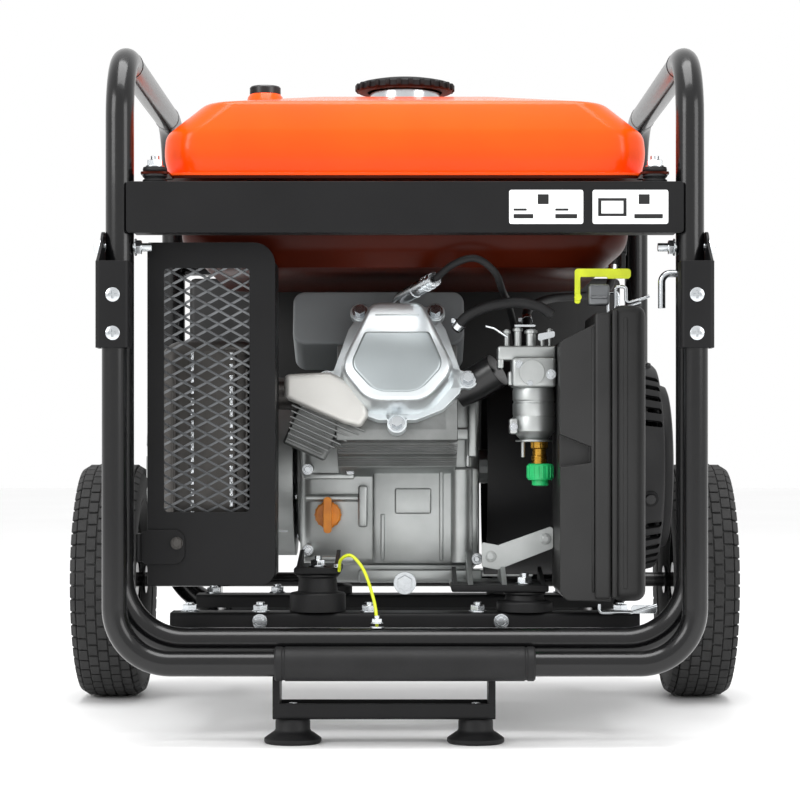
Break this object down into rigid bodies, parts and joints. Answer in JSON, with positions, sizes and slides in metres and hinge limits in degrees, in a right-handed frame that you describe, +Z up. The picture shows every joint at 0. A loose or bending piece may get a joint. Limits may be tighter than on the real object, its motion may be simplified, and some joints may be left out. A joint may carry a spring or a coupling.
{
  "type": "portable generator",
  "caption": "Open-frame petrol generator with a tubular cage, top fuel tank, forward-facing engine cylinder, guarded muffler, folding pull handle, two wheels and a rubber-footed stand.",
  "frame": {"origin": "on the floor, in the middle of the bounding box's base", "axes": "+X to the right when facing the handle side and the cylinder head, +Y from the handle side to the wheel side, +Z up"},
  "size_m": [0.704, 0.6014, 0.647],
  "materials": {
    "frame_paint": "semi-gloss black powder coat",
    "rubber": "matte moulded rubber",
    "tyre": "matte block-tread rubber",
    "tank_paint": "gloss orange enamel",
    "cast_aluminium": "sand-cast and shot-blasted",
    "bright_aluminium": "die-cast, satin",
    "steel": "zinc plated",
    "exhaust_steel": "plain rolled steel",
    "black_plastic": "fine-textured moulded plastic",
    "grey_shroud": "satin silver-grey paint",
    "orange_plastic": "gloss moulded plastic",
    "yellow_green": "gloss coloured coating",
    "filter_foam": "open-cell foam"
  },
  "bodies": {
    "frame": {"front_hoop": "frame_paint", "rear_hoop": "frame_paint", "left_top_rail": "frame_paint", "right_top_rail": "frame_paint", "front_crossbar": "frame_paint", "rear_crossbar": "frame_paint", "left_base_rail": "frame_paint", "right_base_rail": "frame_paint", "front_base_channel": "frame_paint", "rear_base_channel": "frame_paint", "engine_mount_front_left": "rubber", "engine_mount_front_right": "rubber", "engine_mount_rear_left": "rubber", "engine_mount_rear_right": "rubber", "stand_bracket": "frame_paint", "stand_foot_left": "rubber", "stand_foot_right": "rubber", "axle": "steel", "tank_upper_shell": "tank_paint", "tank_lower_shell": "tank_paint", "crankcase": "cast_aluminium", "cylinder_barrel": "cast_aluminium", "cylinder_head": "cast_aluminium", "valve_cover": "bright_aluminium", "cooling_shroud": "grey_shroud", "spark_plug_boot": "steel", "ignition_lead": "rubber", "breather_hose": "rubber", "fuel_hose": "rubber", "earth_wire": "yellow_green", "carburettor": "cast_aluminium", "alternator_housing": "cast_aluminium", "recoil_housing": "black_plastic", "air_filter_case": "black_plastic", "air_filter_element": "filter_foam", "air_filter_lid": "black_plastic", "filter_strap": "steel", "muffler": "exhaust_steel", "exhaust_pipe": "exhaust_steel", "muffler_guard": "frame_paint", "control_panel": "black_plastic"},
    "handle": {"handle_tube": "frame_paint", "handle_grip": "rubber", "handle_bracket_left": "frame_paint", "handle_bracket_right": "frame_paint"},
    "lock_pin": {"lock_pin": "steel"},
    "wheel_left": {"rim_left": "frame_paint", "tyre_left": "tyre"},
    "wheel_right": {"rim_right": "frame_paint", "tyre_right": "tyre"},
    "crank": {"crankshaft": "steel", "alternator_rotor": "steel"},
    "fuel_cap": {"fuel_cap": "black_plastic"},
    "fuel_tap": {"fuel_tap_lever": "black_plastic"},
    "dipstick": {"dipstick": "orange_plastic"},
    "recoil_grip": {"recoil_grip": "black_plastic"},
    "filter_bail": {"filter_bail": "steel"},
    "choke_lever": {"choke_lever": "yellow_green"},
    "engine_switch": {"engine_switch": "black_plastic"},
    "breaker_button": {"breaker_button": "black_plastic"}
  },
  "joints": [
    {"name": "handle_fold", "type": "hinge", "parent": "frame", "child": "handle", "pos_m": [0, -0.25, 0.455], "axis": [-1, 0, 0], "range_deg": [0, 90]},
    {"name": "lock_pin_slide", "type": "slide", "parent": "frame", "child": "lock_pin", "axis": [1, 0, 0], "range_m": [0, 0.006]},
    {"name": "wheel_left_spin", "type": "hinge", "parent": "frame", "child": "wheel_left", "pos_m": [-0.318, 0.1737, 0.127], "axis": [1, 0, 0], "continuous": true},
    {"name": "wheel_right_spin", "type": "hinge", "parent": "frame", "child": "wheel_right", "pos_m": [0.318, 0.1737, 0.127], "axis": [1, 0, 0], "continuous": true},
    {"name": "crank_spin", "type": "hinge", "parent": "frame", "child": "crank", "pos_m": [0, 0.03, 0.252], "axis": [1, 0, 0], "continuous": true},
    {"name": "fuel_cap_turn", "type": "hinge", "parent": "frame", "child": "fuel_cap", "pos_m": [0, 0, 0.64], "axis": [0, 0, 1], "range_deg": [0, 90]},
    {"name": "fuel_tap_turn", "type": "hinge", "parent": "frame", "child": "fuel_tap", "pos_m": [0.2263, 0.07, 0.482], "axis": [1, 0, 0], "range_deg": [0, 90]},
    {"name": "dipstick_turn", "type": "hinge", "parent": "frame", "child": "dipstick", "pos_m": [-0.076, -0.0803, 0.205], "axis": [0, 1, 0], "range_deg": [0, 360]},
    {"name": "recoil_pull", "type": "slide", "parent": "frame", "child": "recoil_grip", "axis": [0, 1, 0], "range_m": [0, 0.088], "stiffness_N_per_m": 60, "springref_m": -0.05},
    {"name": "filter_bail_turn", "type": "hinge", "parent": "frame", "child": "filter_bail", "pos_m": [0.182, -0.205, 0.1248], "axis": [0, 1, 0], "range_deg": [0, 20]},
    {"name": "choke_turn", "type": "hinge", "parent": "frame", "child": "choke_lever", "pos_m": [0.162, -0.206, 0.412], "axis": [0, -1, 0], "range_deg": [0, 25]},
    {"name": "engine_switch_rock", "type": "hinge", "parent": "frame", "child": "engine_switch", "pos_m": [-0.15, 0.259, 0.4], "axis": [1, 0, 0], "range_deg": [0, 20]},
    {"name": "breaker_press", "type": "slide", "parent": "frame", "child": "breaker_button", "axis": [0, -1, 0], "range_m": [0, 0.003], "stiffness_N_per_m": 300, "springref_m": -0.001}
  ]
}
